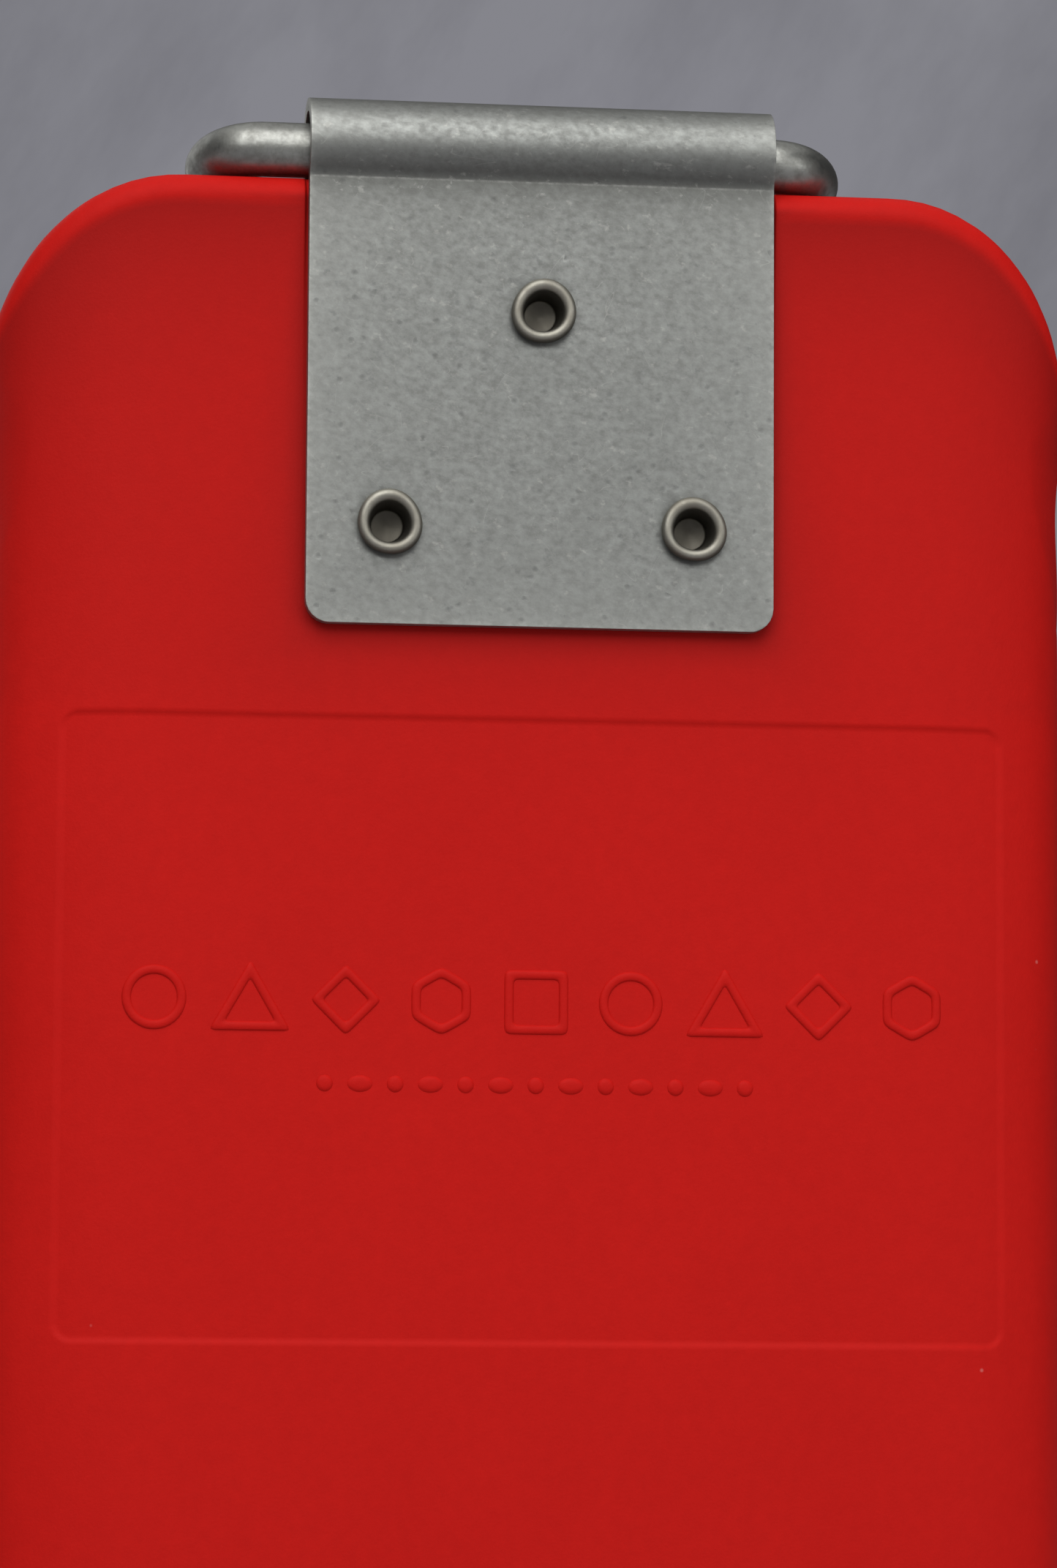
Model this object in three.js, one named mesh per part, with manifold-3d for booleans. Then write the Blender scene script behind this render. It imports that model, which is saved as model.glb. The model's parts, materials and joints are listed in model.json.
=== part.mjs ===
// Toddler bucket swing: a moulded rubber bucket with two leg openings, carried by a folded steel clip and a
// bent steel dee ring on each side wall. A flat spring steel strap is moulded inside the walls and the seat,
// and three semi-tubular rivets fix each clip through wall and strap.
//
// Millimetres, +Z up, the child faces -Y, the clips are on the +X and -X walls.
// The origin is on the ground under the middle of the bucket.

import * as THREE from "three";
import { mergeVertices } from "three/addons/utils/BufferGeometryUtils.js";
import Module from "manifold-3d";

const wasm = await Module();
wasm.setup();

const degrees = THREE.MathUtils.degToRad;

// ---------------------------------------------------------------------------------------------------
// Driving dimensions
// ---------------------------------------------------------------------------------------------------

// bucket
const bucketWidth = 280; // over the two side walls, along X
const bucketDepth = 200; // over the front and back walls, along Y
const rimHeight = 300; // crest of the rim under the clips
const frontRimDrop = 53; // below that crest, in the middle of the front wall
const backRimDrop = 42; // and in the middle of the back wall
const wall = 7; // thickness of walls and floor
const tabCornerRadius = 35; // rounding of a side wall's top corners, seen from the side
const rimRunOutSlope = 1.3; // how steeply the rim leaves the corner for the front and back walls
const sideBendRadius = 50; // gentle bend at the edges of a side wall
const sideBendAngle = degrees(26);
const cornerRadius = 16; // tighter bend that ends in the front or back wall
const bottomRadius = 45; // walls into the floor
const drainRadius = 7;

// leg openings in the front wall
const legOpeningWidth = 92;
const legOpeningHeight = 112;
const legOpeningBottom = 26; // height of its lowest edge
const crotchWidth = 52; // rubber left between the two openings
const legOpeningSquareness = 2.6; // exponent of its outline: 2 is an ellipse, more is squarer

// dee ring: a bar bent to a triangle, with its base in the clip's barrel
const barDiameter = 10;
const deeFloat = 4.1; // straight bar past each end of the clip
const deeBaseAngle = degrees(62);
const deeBaseInside = 4; // inside radii of its bends
const deeTopInside = 5;
const deeShift = -3.6; // along the barrel, within the float
const barToRim = 0.4; // gap between the bar and the rim's crest
const restGap = 0.2; // gap to the rim where the ring comes to lie on it

// hanger clip: one sheet folded round the bar and down both faces of the wall
const sheet = 2.4;
const clipWidth = 85.4;
const clipHeight = 97.3; // from the top of the barrel to the lower edge
const clipCornerRadius = 4.3;
const barrelClearance = 1.3; // between bar and barrel, all round when the bar is centred
const barSag = 1; // the bar hangs this far below the barrel's middle when nothing pulls it
const creaseRadius = 3; // where the barrel runs into the leg
const seatGap = 0.3; // between parts that are clamped together

// rivets
const rivetTopDrop = 39.7; // upper rivet, below the top of the barrel
const rivetLowMargin = 18.2; // lower rivets, from the clip's lower edge
const rivetSideMargin = 14.95; // and from its sides
const shankDiameter = 8;
const rivetHoleClearance = 0.3; // all round the shank
const boreDiameter = 5.4;
const boreDepth = 6.5; // from the top of the rolled end
const rollDiameter = 11.9; // over the rolled end
const mouthDiameter = 7.2;
const headDiameter = 14;
const headHeight = 3;

// steel insert
const strapThickness = 1;
const strapSideMargin = 4.7; // narrower than the clip by this, on each side
const strapWaist = 50; // narrower still round the bottom
const strapTopMargin = 10; // rubber above its ends
const strapTaperDrop = 19; // starts to narrow this far below the clip
const strapTaper = 100; // and reaches the waist over this height
const mouldGap = 0.3; // between the strap and the rubber
const drainRing = 3; // rubber between the drain hole and the strap

// mesh steps
const sideSteps = 2;
const bendSteps = 5;
const cornerSteps = 5;
const endSteps = 8;
const rimSteps = 6;
const floorSteps = 6;
const tubeSides = 16;
const rivetSides = 16;

// ---------------------------------------------------------------------------------------------------
// Worked out from them
// ---------------------------------------------------------------------------------------------------

const halfWidth = bucketWidth / 2;
const halfDepth = bucketDepth / 2;
const wallMiddle = halfWidth - wall / 2; // X of the middle of a side wall
const pivotHeight = rimHeight + barToRim + barDiameter / 2;
const barrelOuterRadius = barDiameter / 2 + barrelClearance + sheet;
const barrelHeight = pivotHeight + barSag; // of its middle
const barrelTop = barrelHeight + barrelOuterRadius;
const clipBottom = barrelTop - clipHeight;
const clampHalf = wall / 2 + seatGap + sheet; // middle of the wall to the clip's outer face
const restReach = barDiameter / 2 + wall / 2;
const deeRest = Math.acos((restReach + restGap) / (restReach + barToRim)); // below the horizontal
const strapWidth = clipWidth - 2 * strapSideMargin;
const waistTop = clipBottom - strapTaperDrop;
const waistBottom = waistTop - strapTaper;
const rivetLowY = clipWidth / 2 - rivetSideMargin;
const rivetLowZ = clipBottom + rivetLowMargin;
const rivetHoleRadius = shankDiameter / 2 + rivetHoleClearance;
const rivetPlaces = [
  { name: "top", y: 0, z: barrelTop - rivetTopDrop },
  { name: "front", y: -rivetLowY, z: rivetLowZ },
  { name: "back", y: rivetLowY, z: rivetLowZ },
];

// ---------------------------------------------------------------------------------------------------
// Solids: joining and cutting
// ---------------------------------------------------------------------------------------------------

function solid(geometry) {
  const bare = geometry.clone();
  bare.deleteAttribute("normal");
  bare.deleteAttribute("uv");
  const merged = mergeVertices(bare, 1e-4);
  const mesh = new wasm.Mesh({
    numProp: 3,
    vertProperties: new Float32Array(merged.attributes.position.array),
    triVerts: new Uint32Array(merged.index.array),
  });
  return new wasm.Manifold(mesh);
}

function geometryOf(body) {
  const mesh = body.getMesh();
  const geometry = new THREE.BufferGeometry();
  geometry.setAttribute("position", new THREE.BufferAttribute(new Float32Array(mesh.vertProperties), 3));
  geometry.setIndex(new THREE.BufferAttribute(new Uint32Array(mesh.triVerts), 1));
  geometry.computeVertexNormals();
  return geometry;
}

// A shape drawn in X and Z, pushed along Y from y0 to y1.
function prismAlongY(shape, y0, y1, curveSegments = 12) {
  const g = new THREE.ExtrudeGeometry(shape, { depth: y1 - y0, bevelEnabled: false, curveSegments });
  return g.rotateX(Math.PI / 2).translate(0, y1, 0);
}

// A shape drawn in Y and Z, pushed along X from x0 to x1.
function prismAlongX(shape, x0, x1, curveSegments = 12) {
  const g = new THREE.ExtrudeGeometry(shape, { depth: x1 - x0, bevelEnabled: false, curveSegments });
  return g.rotateX(Math.PI / 2).rotateZ(Math.PI / 2).translate(x0, 0, 0);
}

function barAlongX(radius, x0, x1, y, z, sides = 24) {
  const g = new THREE.CylinderGeometry(radius, radius, x1 - x0, sides);
  return g.rotateZ(Math.PI / 2).translate((x0 + x1) / 2, y, z);
}

function arcPoints(cx, cy, radius, from, to, steps) {
  return Array.from({ length: steps + 1 }, (_, i) => {
    const a = from + ((to - from) * i) / steps;
    return new THREE.Vector2(cx + radius * Math.cos(a), cy + radius * Math.sin(a));
  });
}

// ---------------------------------------------------------------------------------------------------
// Bucket shell
// ---------------------------------------------------------------------------------------------------

// Plan of the bucket, one quarter: a straight side, a gentle bend, a tight corner and a straight end.
// bend: turns through sideBendAngle; corner: turns through what is left of the right angle.
const sideStraight =
  halfDepth - sideBendRadius * Math.sin(sideBendAngle) - cornerRadius * (1 - Math.sin(sideBendAngle));
const endStraight =
  halfWidth - sideBendRadius * (1 - Math.cos(sideBendAngle)) - cornerRadius * Math.cos(sideBendAngle);

// A station is a place along the plan. at(inset) gives its point on the outline moved in by inset.
function sideStation(share) {
  return { nx: 1, ny: 0, at: (inset) => [halfWidth - inset, share * (sideStraight - inset)] };
}

function bendStation(angle) {
  const at = (inset) => [
    halfWidth - inset - sideBendRadius * (1 - Math.cos(angle)),
    sideStraight - inset + sideBendRadius * Math.sin(angle),
  ];
  return { nx: Math.cos(angle), ny: Math.sin(angle), at };
}

function cornerStation(angle) {
  const at = (inset) => [
    endStraight - inset + cornerRadius * Math.cos(angle),
    halfDepth - inset - cornerRadius * (1 - Math.sin(angle)),
  ];
  return { nx: Math.cos(angle), ny: Math.sin(angle), at };
}

function endStation(share) {
  return { nx: 0, ny: 1, at: (inset) => [share * (endStraight - inset), halfDepth - inset] };
}

function quarterPlan() {
  const list = [];
  for (let i = 0; i < sideSteps; i++) list.push(sideStation(i / sideSteps));
  for (let i = 0; i < bendSteps; i++) list.push(bendStation((sideBendAngle * i) / bendSteps));
  for (let i = 0; i < cornerSteps; i++)
    list.push(cornerStation(sideBendAngle + ((Math.PI / 2 - sideBendAngle) * i) / cornerSteps));
  for (let i = 0; i <= endSteps; i++) list.push(endStation(1 - (i / endSteps) ** 1.6)); // closer by the corner
  return list;
}

// The four quarters, anticlockwise from the middle of the +X wall.
function wholePlan() {
  const quarter = quarterPlan();
  const flipped = (s, sx, sy) => ({
    nx: sx * s.nx,
    ny: sy * s.ny,
    at: (inset) => [sx * s.at(inset)[0], sy * s.at(inset)[1]],
  });
  const there = quarter.slice(0, -1);
  const back = quarter.slice(1).reverse();
  return [
    ...there,
    ...back.map((s) => flipped(s, -1, 1)),
    ...there.map((s) => flipped(s, -1, -1)),
    ...back.map((s) => flipped(s, 1, -1)),
  ];
}

// Height of the rim's crest. The side walls stand up as tabs with round top corners, and past the corner
// the rim runs out to the lower front or back rim along an exponential curve.
function rimCrest(x, y) {
  const tabFlat = halfDepth - tabCornerRadius;
  const over = Math.max(0, Math.abs(y) - tabFlat);
  const round = Math.sqrt(Math.max(0, tabCornerRadius ** 2 - over ** 2));
  const cornerHeight = rimHeight - tabCornerRadius + round;
  if (Math.abs(y) < halfDepth - 1e-6) return cornerHeight;
  const drop = y < 0 ? frontRimDrop : backRimDrop;
  const fall = drop - tabCornerRadius; // from the end of the round corner
  return rimHeight - drop + fall * Math.exp((-(endStraight - Math.abs(x)) * rimRunOutSlope) / fall);
}

// The shell's section at one station, a closed loop: out along the underside, up the outer face, over the
// rim, down the inner face and in along the floor. The inner face is the outer one moved in by the wall.
function shellSection(station) {
  const [x0, y0] = station.at(0);
  const [xFoot, yFoot] = station.at(bottomRadius);
  const crest = rimCrest(x0, y0);
  const lip = wall / 2;
  const drain = new THREE.Vector2(xFoot, yFoot).setLength(drainRadius);
  const outer = [new THREE.Vector3(drain.x, drain.y, 0)];
  const inner = [new THREE.Vector3(drain.x, drain.y, wall)];
  for (let i = 0; i <= floorSteps; i++) {
    const a = (Math.PI / 2) * (1 - i / floorSteps);
    const [x, y] = station.at(bottomRadius * (1 - Math.cos(a)));
    const reach = Math.abs(station.nx) + Math.abs(station.ny);
    const normal = new THREE.Vector3(station.nx * Math.cos(a), station.ny * Math.cos(a), -Math.sin(a) * reach);
    const p = new THREE.Vector3(x, y, bottomRadius * (1 - Math.sin(a)));
    outer.push(p);
    inner.push(p.clone().addScaledVector(normal.normalize(), -wall));
  }
  const rim = [];
  for (let i = 0; i <= rimSteps; i++) {
    const a = (Math.PI * i) / rimSteps;
    const out = lip * Math.cos(a) - lip; // from the outer face
    rim.push(new THREE.Vector3(x0 + station.nx * out, y0 + station.ny * out, crest - lip + lip * Math.sin(a)));
  }
  return [...outer, ...rim, ...inner.reverse()];
}

// A mesh from closed sections: every section is joined to the next, and the last to the first.
function loft(sections) {
  const n = sections.length;
  const m = sections[0].length;
  const index = [];
  for (let i = 0; i < n; i++)
    for (let j = 0; j < m; j++) {
      const [a, b] = [i * m + j, ((i + 1) % n) * m + j];
      const [c, d] = [i * m + ((j + 1) % m), ((i + 1) % n) * m + ((j + 1) % m)];
      index.push(a, b, d, a, d, c);
    }
  const geometry = new THREE.BufferGeometry().setFromPoints(sections.flat());
  return geometry.setIndex(index);
}

// One leg opening, drawn in X and Z about its own centre as a superellipse.
function legOpeningShape(cx, cz) {
  const steps = 40;
  const power = 2 / legOpeningSquareness;
  const point = (t) => {
    const [c, s] = [Math.cos(t), Math.sin(t)];
    return new THREE.Vector2(
      cx + (legOpeningWidth / 2) * Math.sign(c) * Math.abs(c) ** power,
      cz + (legOpeningHeight / 2) * Math.sign(s) * Math.abs(s) ** power,
    );
  };
  return new THREE.Shape(Array.from({ length: steps }, (_, i) => point((2 * Math.PI * (i + 0.5)) / steps)));
}

// The strap's solid, grown all over by grow so that the same call makes its pocket in the rubber.
function strapBody(grow) {
  const half = strapThickness / 2 + grow;
  const bend = bottomRadius - wall / 2;
  const top = rimHeight - strapTopMargin + grow;
  const bendX = wallMiddle - bend;
  const face = (radius) => [
    new THREE.Vector2(bendX + radius, top),
    ...arcPoints(bendX, bottomRadius, radius, 0, -Math.PI / 2, floorSteps + 1),
  ];
  const mirrored = (points) => points.map((p) => new THREE.Vector2(-p.x, p.y)).reverse();
  const outer = face(bend + half);
  const inner = face(bend - half);
  const section = new THREE.Shape([...outer, ...mirrored(outer), ...mirrored(inner).reverse(), ...inner.reverse()]);
  const [wide, narrow] = [strapWidth / 2 + grow, strapWaist / 2 + grow];
  const outline = new THREE.Shape();
  outline.moveTo(-narrow, -wall);
  outline.lineTo(narrow, -wall);
  outline.lineTo(narrow, waistBottom);
  outline.lineTo(wide, waistTop);
  outline.lineTo(wide, rimHeight);
  outline.lineTo(-wide, rimHeight);
  outline.lineTo(-wide, waistTop);
  outline.lineTo(-narrow, waistBottom);
  const drainHole = new THREE.CylinderGeometry(1, 1, 4 * wall, 32);
  const holeRadius = drainRadius + drainRing - grow;
  drainHole.rotateX(Math.PI / 2).scale(holeRadius, holeRadius, 1);
  return solid(prismAlongY(section, -wide, wide))
    .intersect(solid(prismAlongX(outline, -halfWidth, halfWidth)))
    .subtract(solid(drainHole));
}

// Six clear holes through walls, clips or strap, one at each rivet.
function rivetHoles() {
  const holes = rivetPlaces.map((r) => solid(barAlongX(rivetHoleRadius, -bucketWidth, bucketWidth, r.y, r.z)));
  return holes.reduce((all, one) => all.add(one));
}

function shellBody() {
  const legX = crotchWidth / 2 + legOpeningWidth / 2;
  const legZ = legOpeningBottom + legOpeningHeight / 2;
  const legOpening = (x) => solid(prismAlongY(legOpeningShape(x, legZ), -bucketDepth, -halfDepth / 2));
  return solid(loft(wholePlan().map(shellSection)))
    .subtract(legOpening(legX))
    .subtract(legOpening(-legX))
    .subtract(strapBody(mouldGap))
    .subtract(rivetHoles());
}

// ---------------------------------------------------------------------------------------------------
// Hanger clip
// ---------------------------------------------------------------------------------------------------

// The folded sheet's section about the barrel's centre, X across the wall and Y up. Its middle line runs up a
// leg, bends out through the crease and goes round the barrel; each face is that line moved by half a sheet.
function clipSection() {
  const legX = clampHalf - sheet / 2;
  const barrel = barrelOuterRadius - sheet / 2;
  const crease = creaseRadius + sheet / 2;
  const creaseX = legX + crease;
  const creaseY = -Math.sqrt((barrel + crease) ** 2 - creaseX ** 2);
  const lean = Math.atan2(creaseY, creaseX);
  const face = (out) => [
    new THREE.Vector2(legX + out, clipBottom - barrelHeight),
    ...arcPoints(creaseX, creaseY, crease - out, Math.PI, Math.PI + lean, 4),
    ...arcPoints(0, 0, barrel + out, lean, Math.PI / 2, 12).slice(1),
  ];
  const whole = (half) => [...half, ...half.slice(0, -1).reverse().map((p) => new THREE.Vector2(-p.x, p.y))];
  return new THREE.Shape([...whole(face(sheet / 2)), ...whole(face(-sheet / 2)).reverse()]);
}

function clipBody() {
  const half = clipWidth / 2;
  const corner = clipCornerRadius;
  const outline = new THREE.Shape([
    ...arcPoints(-half + corner, clipBottom + corner, corner, Math.PI, 1.5 * Math.PI, 6),
    ...arcPoints(half - corner, clipBottom + corner, corner, 1.5 * Math.PI, 2 * Math.PI, 6),
    new THREE.Vector2(half, barrelTop + 1),
    new THREE.Vector2(-half, barrelTop + 1),
  ]);
  const folded = prismAlongY(clipSection(), -half, half).translate(wallMiddle, 0, barrelHeight);
  return solid(folded)
    .intersect(solid(prismAlongX(outline, wallMiddle - 2 * barrelOuterRadius, wallMiddle + 2 * barrelOuterRadius)))
    .subtract(rivetHoles());
}

// ---------------------------------------------------------------------------------------------------
// Dee ring
// ---------------------------------------------------------------------------------------------------

// The bar's centre line about the hinge axis: a triangle with round corners. X is the reach from the axis,
// Y runs along the axis. A stop holds a point and the direction square to the line, away from the inside.
function deeStops() {
  const turn = Math.PI - deeBaseAngle;
  const half = clipWidth / 2 + deeFloat;
  const baseBend = deeBaseInside + barDiameter / 2;
  const topBend = deeTopInside + barDiameter / 2;
  const vertexY = half + baseBend * Math.tan(turn / 2);
  const vertexX = vertexY * Math.tan(deeBaseAngle);
  const topCentre = vertexX - topBend / Math.cos(deeBaseAngle);
  const stops = [];
  const bend = (cx, cy, radius, from, to, steps) => {
    for (let i = 0; i <= steps; i++) {
      const a = from + ((to - from) * i) / steps;
      const out = new THREE.Vector2(Math.cos(a), Math.sin(a));
      stops.push({ at: new THREE.Vector2(cx, cy).addScaledVector(out, radius), out });
    }
  };
  bend(baseBend, half, baseBend, Math.PI, Math.PI - turn, 7);
  bend(topCentre, 0, topBend, deeBaseAngle, -deeBaseAngle, 7);
  bend(baseBend, -half, baseBend, -Math.PI + turn, -Math.PI, 7);
  return stops;
}

function deeGeometry() {
  const radius = barDiameter / 2;
  const sections = deeStops().map(({ at, out }) =>
    Array.from({ length: tubeSides }, (_, k) => {
      const a = (2 * Math.PI * k) / tubeSides;
      const side = at.clone().addScaledVector(out, radius * Math.cos(a));
      return new THREE.Vector3(-side.x, side.y, radius * Math.sin(a));
    }),
  );
  return loft(sections);
}

// ---------------------------------------------------------------------------------------------------
// Rivet
// ---------------------------------------------------------------------------------------------------

// Profile about the rivet's axis, from the head's crown inside the bucket to the blind bore in the rolled
// end outside. Heights are from the middle of the wall.
function rivetGeometry() {
  const seat = clampHalf + seatGap;
  const roll = (rollDiameter - mouthDiameter) / 4;
  const rollMiddle = (rollDiameter + mouthDiameter) / 4;
  const crown = -seat - headHeight;
  const profile = [
    new THREE.Vector2(0, crown),
    new THREE.Vector2(headDiameter * 0.25, crown + headHeight * 0.12),
    new THREE.Vector2(headDiameter * 0.4, crown + headHeight * 0.4),
    new THREE.Vector2(headDiameter * 0.5, crown + headHeight * 0.85),
    new THREE.Vector2(headDiameter * 0.48, -seat),
    new THREE.Vector2(shankDiameter / 2, -seat),
    new THREE.Vector2(shankDiameter / 2, seat),
    ...arcPoints(rollMiddle, seat + roll, roll, -Math.PI / 2, Math.PI * 1.1, 7),
    new THREE.Vector2(boreDiameter / 2, seat - roll * 0.5),
    new THREE.Vector2(boreDiameter / 2, seat + 2 * roll - boreDepth),
    new THREE.Vector2(0, seat + 2 * roll - boreDepth),
  ];
  return new THREE.LatheGeometry(profile, rivetSides).rotateZ(-Math.PI / 2);
}

// ---------------------------------------------------------------------------------------------------
// Assembly
// ---------------------------------------------------------------------------------------------------

const redRubber = new THREE.MeshStandardMaterial({ color: 0xb61f1c, roughness: 0.55, metalness: 0 });
const zincPlate = new THREE.MeshStandardMaterial({ color: 0x8b8d89, roughness: 0.45, metalness: 0.9 });
const zincBar = new THREE.MeshStandardMaterial({ color: 0x9a9a92, roughness: 0.35, metalness: 0.9 });
const rivetSteel = new THREE.MeshStandardMaterial({ color: 0x8f8d82, roughness: 0.4, metalness: 0.9 });
const springSteel = new THREE.MeshStandardMaterial({ color: 0x5a5d60, roughness: 0.4, metalness: 0.9 });

function part(name, geometry, material) {
  const mesh = new THREE.Mesh(geometry, material);
  mesh.name = name;
  return mesh;
}

// One wall's hardware, modelled on the +X wall.
function hardware(side) {
  const group = new THREE.Group();
  group.add(part(`${side}_hanger_clip`, geometryOf(clipBody()), zincPlate));
  const dee = part(`${side}_dee_ring`, deeGeometry(), zincBar);
  dee.position.set(wallMiddle, deeShift, pivotHeight);
  dee.rotation.y = -deeRest;
  group.add(dee);
  for (const place of rivetPlaces) {
    const rivet = part(`${side}_rivet_${place.name}`, rivetGeometry(), rivetSteel);
    rivet.position.set(wallMiddle, place.y, place.z);
    group.add(rivet);
  }
  return group;
}

const swing = new THREE.Group();
swing.add(part("seat_shell", geometryOf(shellBody()), redRubber));
swing.add(part("steel_insert", geometryOf(strapBody(0).subtract(rivetHoles())), springSteel));
swing.add(hardware("right"));
const left = hardware("left");
left.scale.x = -1; // the -X wall mirrors the +X wall
swing.add(left);

export default swing;
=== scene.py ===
# Toddler bucket swing: a red rubber bucket on two riveted hanger clips, each with a swinging dee ring.
# Sizes are in millimetres and are turned into metres as each mesh is made. X runs across the bucket from
# clip to clip, the child faces -Y, and Z is up.

import json
import math

import bmesh
import bpy
import numpy as np
from mathutils import Matrix, Vector


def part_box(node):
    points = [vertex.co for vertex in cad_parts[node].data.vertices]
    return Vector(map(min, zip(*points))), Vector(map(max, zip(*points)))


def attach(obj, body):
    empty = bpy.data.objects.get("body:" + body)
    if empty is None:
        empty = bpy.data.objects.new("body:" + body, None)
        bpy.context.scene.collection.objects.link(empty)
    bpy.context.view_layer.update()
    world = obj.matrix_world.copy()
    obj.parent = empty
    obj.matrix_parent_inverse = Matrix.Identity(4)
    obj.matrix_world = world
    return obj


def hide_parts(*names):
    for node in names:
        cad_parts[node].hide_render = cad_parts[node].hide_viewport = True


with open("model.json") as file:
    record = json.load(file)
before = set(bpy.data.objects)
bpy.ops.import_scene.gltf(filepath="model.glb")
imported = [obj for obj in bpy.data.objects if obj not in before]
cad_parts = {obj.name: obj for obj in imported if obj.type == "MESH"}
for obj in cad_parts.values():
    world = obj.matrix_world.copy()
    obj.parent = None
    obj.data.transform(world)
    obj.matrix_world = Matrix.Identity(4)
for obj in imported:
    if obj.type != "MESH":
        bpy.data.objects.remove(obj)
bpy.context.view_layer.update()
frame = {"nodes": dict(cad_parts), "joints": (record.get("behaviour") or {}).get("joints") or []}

# ----------------------------------------------------------------------------------------------------------
# Bucket
# Moulded in one piece from red rubber about 7 mm thick, with two leg openings and a drain hole. Its side
# walls stand up as tabs for the hanger clips, the rim ends in a thicker lip, and the mould sinks a shallow
# panel into each side wall. A flat steel strap is moulded inside the side walls and the seat.
# ----------------------------------------------------------------------------------------------------------

mm = 0.001
half_width, half_depth, rim_height = (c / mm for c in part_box("seat_shell")[1])
wall = 7.0

# outline from above: straight side, gentle bend, tight corner, straight end
bend_radius = 50.0
bend_angle = math.radians(26)
corner_radius = 16.0
bottom_radius = 45.0
side_length = half_depth - bend_radius * math.sin(bend_angle) - corner_radius * (1 - math.sin(bend_angle))
end_length = half_width - bend_radius * (1 - math.cos(bend_angle)) - corner_radius * math.cos(bend_angle)
bend_end = side_length + bend_radius * bend_angle
corner_end = bend_end + corner_radius * (math.pi / 2 - bend_angle)
quarter = corner_end + end_length

# rim
tab_radius = 35.0
front_drop = 53.0
back_drop = 42.0
run_out_slope = 1.3
lip_proud = 1.2  # the lip stands out past the wall's outer face by this
lip_radius = (wall + lip_proud) / 2
lip_fade = 10.0  # the swelling under the lip dies away over this
clip_edge = 43.2  # the clip keeps the rubber flat up to here, from the middle of the side wall
clip_band = 0.6  # the mesh is fine over this width on both sides of that place

# sunk panel in a side wall's outer face
panel_half = 86.5
panel_bottom = 88.5
panel_top = 201.6
panel_corner = 3.5
panel_depth = 0.38
panel_edge = 0.8  # width of its sloping edge
panel_band = 4.5  # inside its border the mesh is fine over this width, for the edge and the corners

# leg openings, in the front wall
opening_x = 72.0
opening_z = 82.0
opening_half = np.array([46.0, 56.0])
opening_power = 2.6  # exponent of the outline: 2 is an ellipse, more is squarer
opening_lip = 3.5
opening_bead = 0.8
opening_fade = 5.0
opening_reach = 1.35  # the mesh is shaped to the opening out to this many times its size
out_of_reach = 1e3  # stands for a distance at which every fade has died away

# drain and rivet holes
drain_radius = 7.0
drain_rounding = 1.2
rivet_hole = 4.3
hole_reach = 1.9  # as opening_reach, for a rivet hole
rivet_names = ["top", "front", "back"]
rivet_places = {n: sum(np.array(c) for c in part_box(f"right_rivet_{n}")) / 2 / mm for n in rivet_names}
clip_low, clip_high = (np.array(corner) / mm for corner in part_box("right_hanger_clip"))


def smooth(x):
    """3x^2 - 2x^3 between 0 and 1, and level outside."""
    x = np.clip(x, 0, 1)
    return x * x * (3 - 2 * x)


def steps(stops, counts):
    """Values from the first stop to the last, with that many equal steps between each two stops."""
    parts = [np.linspace(a, b, n, endpoint=False) for a, b, n in zip(stops, stops[1:], counts)]
    return np.concatenate([*parts, stops[-1:]])


def plan(w):
    """The outline from above at arc length w from the middle of the +X wall: its point, how fast the point
    moves in as the outline shrinks, and the outward normal's angle. One quarter is worked out, as a line, two
    arcs and a line, and the others mirror it."""
    turn = np.mod(np.round(w, 9), 4 * quarter)
    index = np.floor(turn / quarter)
    t = np.where(index % 2 == 0, turn - index * quarter, (index + 1) * quarter - turn)
    sign_x = np.where((index == 0) | (index == 3), 1.0, -1.0)
    sign_y = np.where(index < 2, 1.0, -1.0)
    bend = (t - side_length) / bend_radius
    corner = bend_angle + (t - bend_end) / corner_radius
    share = (quarter - t) / end_length
    zones = [t <= side_length, t <= bend_end, t <= corner_end]
    bend_x = half_width - bend_radius * (1 - np.cos(bend))
    bend_y = side_length + bend_radius * np.sin(bend)
    corner_x = end_length + corner_radius * np.cos(corner)
    corner_y = half_depth - corner_radius * (1 - np.sin(corner))
    x = np.select(zones, [half_width, bend_x, corner_x], share * end_length)
    y = np.select(zones, [t, bend_y, corner_y], half_depth)
    rate_x = np.select(zones, [1.0, 1.0, 1.0], share)
    rate_y = np.select(zones[:1], [t / side_length], 1.0)
    angle = np.select(zones, [0.0, bend, corner], math.pi / 2)
    outward = sign_x * np.cos(angle), sign_y * np.sin(angle)
    return sign_x * x, sign_y * y, sign_x * rate_x, sign_y * rate_y, *outward


def skin(w, z, depth):
    """Point at arc length w and height z, depth under the outer face. The wall is upright above
    bottom_radius; below it the outline shrinks by R(1 - cos a), where sin a = 1 - z/R."""
    x, y, rate_x, rate_y, nx, ny = plan(w)
    lean = np.arcsin(np.clip(1 - z / bottom_radius, 0, 1))
    inset = bottom_radius * (1 - np.cos(lean))
    down = -np.sin(lean) * (np.abs(nx) + np.abs(ny))
    normal = np.stack([nx * np.cos(lean), ny * np.cos(lean), down], -1)
    normal /= np.linalg.norm(normal, axis=-1, keepdims=True)
    point = np.stack([x - rate_x * inset, y - rate_y * inset, z], -1)
    return point - np.asarray(depth)[..., None] * normal


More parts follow.
